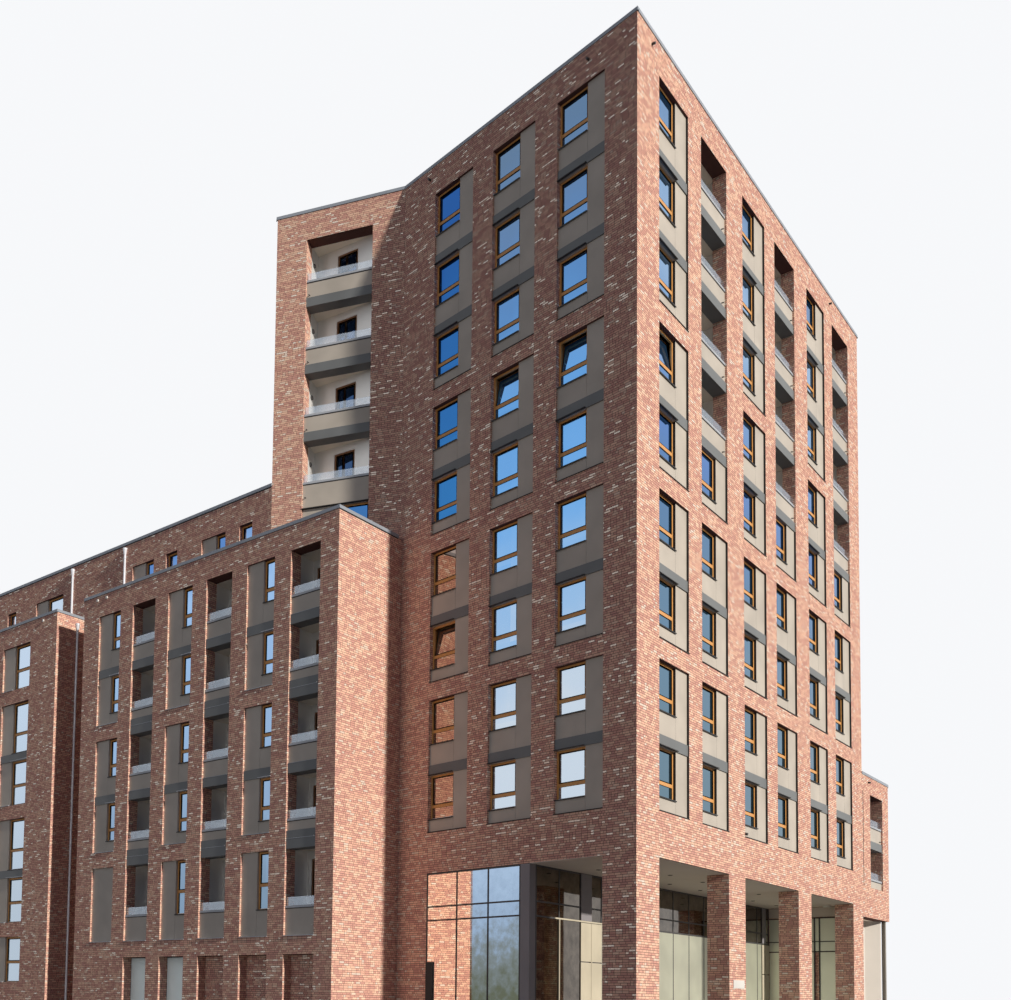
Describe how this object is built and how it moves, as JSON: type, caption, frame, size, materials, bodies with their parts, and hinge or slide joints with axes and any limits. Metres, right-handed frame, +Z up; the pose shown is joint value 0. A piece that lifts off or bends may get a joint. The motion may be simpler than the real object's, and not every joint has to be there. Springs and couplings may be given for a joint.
{
  "type": "apartment building",
  "caption": "Corner apartment block in brick: a tall tower over an open arcade, a lower wing with loggias and a set-back top storey, timber windows in metal-panelled bays",
  "frame": {"origin": "centre of the building's bounding box in plan, at the level of the ground it stands on", "axes": "+Z up, +X along the wing's street front towards the tower, +Y along the tower's own street front away from the street corner"},
  "size_m": [39.265, 30.21, 34.95],
  "materials": {
    "brick": "matt facing brick, dark red-brown with scattered pale bricks",
    "concrete": "smooth concrete",
    "render": "fine white render",
    "metal_panel": "grey-beige coated sheet",
    "dark_metal": "anthracite coated metal",
    "coping": "light grey-blue folded sheet",
    "timber": "oiled orange-brown timber",
    "window_glass": "clear glazing with a blue sky reflection",
    "pipe": "white coated steel"
  },
  "bodies": {
    "root": {"arcade_pillars": "brick", "street_wall": "brick", "square_wall": "brick", "return_wall": "brick", "rear_wall": "brick", "court_wall": "brick", "wing_front_wall": "brick", "wing_side_wall": "brick", "recess_walls": "brick", "end_block_wall": "brick", "party_wall": "brick", "setback_wall": "brick", "wing_rear_wall": "brick", "low_block_walls": "brick", "ground_infill": "brick", "tower_floors": "concrete", "wing_floors": "concrete", "low_block_floors": "concrete", "arcade_soffit": "concrete", "low_ground_walls": "render", "loggia_walls": "render", "tower_panels": "metal_panel", "wing_panels": "metal_panel", "loggia_parapets": "metal_panel", "steel_post": "dark_metal", "hall_frame": "dark_metal", "hall_corner_post": "dark_metal", "tower_floor_edges": "dark_metal", "wing_floor_edges": "dark_metal", "ground_doors": "dark_metal", "tower_coping": "coping", "wing_coping": "coping", "setback_coping": "coping", "low_block_coping": "coping", "loggia_rails": "coping", "tower_window_frames": "timber", "wing_window_frames": "timber", "loggia_window_frames": "timber", "hall_glass": "window_glass", "tower_window_glass": "window_glass", "wing_window_glass": "window_glass", "loggia_balustrades": "window_glass", "loggia_window_glass": "window_glass", "ground_glass": "window_glass", "downpipes": "pipe"}
  },
  "joints": []
}
